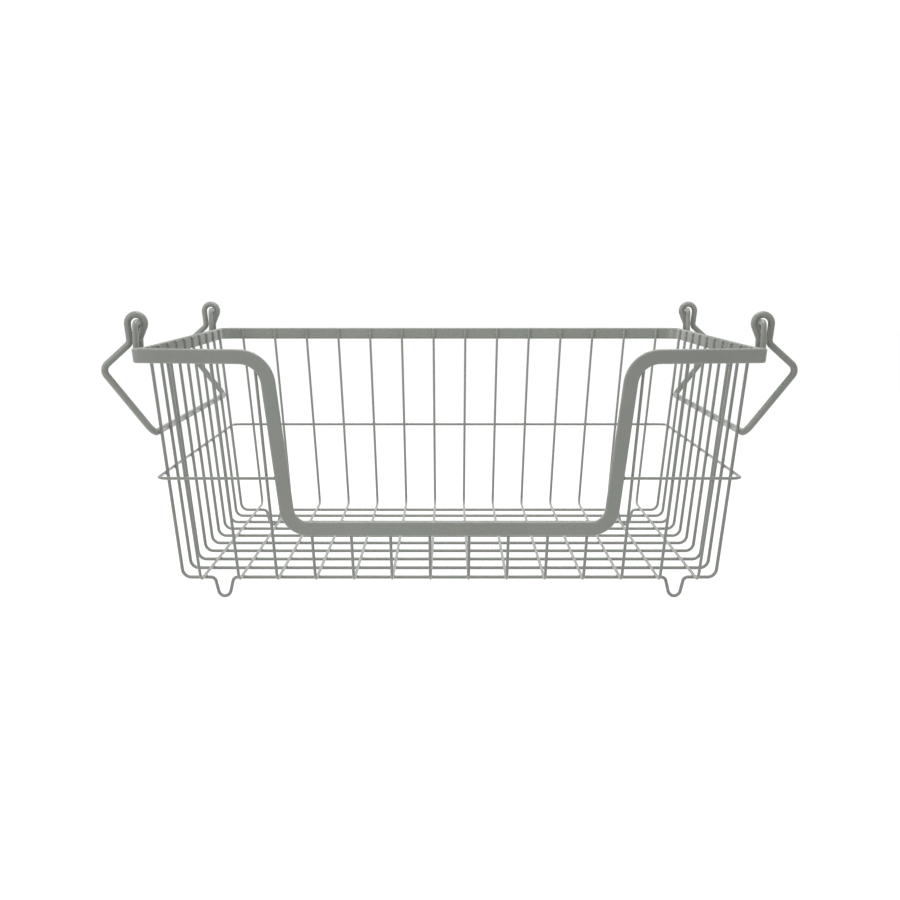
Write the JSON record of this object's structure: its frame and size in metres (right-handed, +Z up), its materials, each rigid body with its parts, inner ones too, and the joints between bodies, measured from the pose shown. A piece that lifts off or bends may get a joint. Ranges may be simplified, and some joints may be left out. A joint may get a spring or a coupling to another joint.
{
  "type": "wire storage basket",
  "caption": "Stackable wire storage basket with a flat-bar rim, a low front lip, short wire feet and swinging bail handles.",
  "frame": {"origin": "on the ground under the middle of the basket", "axes": "+X to the right along the length, +Y to the rear, away from the front lip, +Z up"},
  "size_m": [0.4796, 0.3206, 0.2034],
  "materials": {
    "cross_coat": "satin powder coat",
    "girdle_coat": "satin powder coat",
    "handle_coat": "satin powder coat",
    "lip_coat": "satin powder coat",
    "long_coat": "satin powder coat",
    "rim_coat": "satin powder coat",
    "staple_coat": "satin powder coat"
  },
  "bodies": {
    "basket": {"rim_band": "rim_coat", "front_lip": "lip_coat", "cross_wire_01": "cross_coat", "cross_wire_02": "cross_coat", "cross_wire_03": "cross_coat", "cross_wire_04": "cross_coat", "cross_wire_05": "cross_coat", "cross_wire_06": "cross_coat", "cross_wire_07": "cross_coat", "cross_wire_08": "cross_coat", "cross_wire_09": "cross_coat", "cross_wire_10": "cross_coat", "cross_wire_11": "cross_coat", "cross_wire_12": "cross_coat", "cross_wire_13": "cross_coat", "cross_wire_14": "cross_coat", "long_wire_01": "long_coat", "long_wire_02": "long_coat", "long_wire_03": "long_coat", "long_wire_04": "long_coat", "long_wire_05": "long_coat", "long_wire_06": "long_coat", "long_wire_07": "long_coat", "long_wire_08": "long_coat", "long_wire_09": "long_coat", "long_wire_10": "long_coat", "girdle_wire": "girdle_coat", "left_front_staple": "staple_coat", "left_rear_staple": "staple_coat", "right_front_staple": "staple_coat", "right_rear_staple": "staple_coat"},
    "left_bail": {"left_handle": "handle_coat"},
    "right_bail": {"right_handle": "handle_coat"}
  },
  "joints": [
    {"name": "left_handle_swing", "type": "hinge", "parent": "basket", "child": "left_bail", "pos_m": [-0.21405, 0, 0.1963], "axis": [0, 1, 0], "range_deg": [0, 307]},
    {"name": "right_handle_swing", "type": "hinge", "parent": "basket", "child": "right_bail", "pos_m": [0.21405, 0, 0.1963], "axis": [0, -1, 0], "range_deg": [0, 307]}
  ]
}
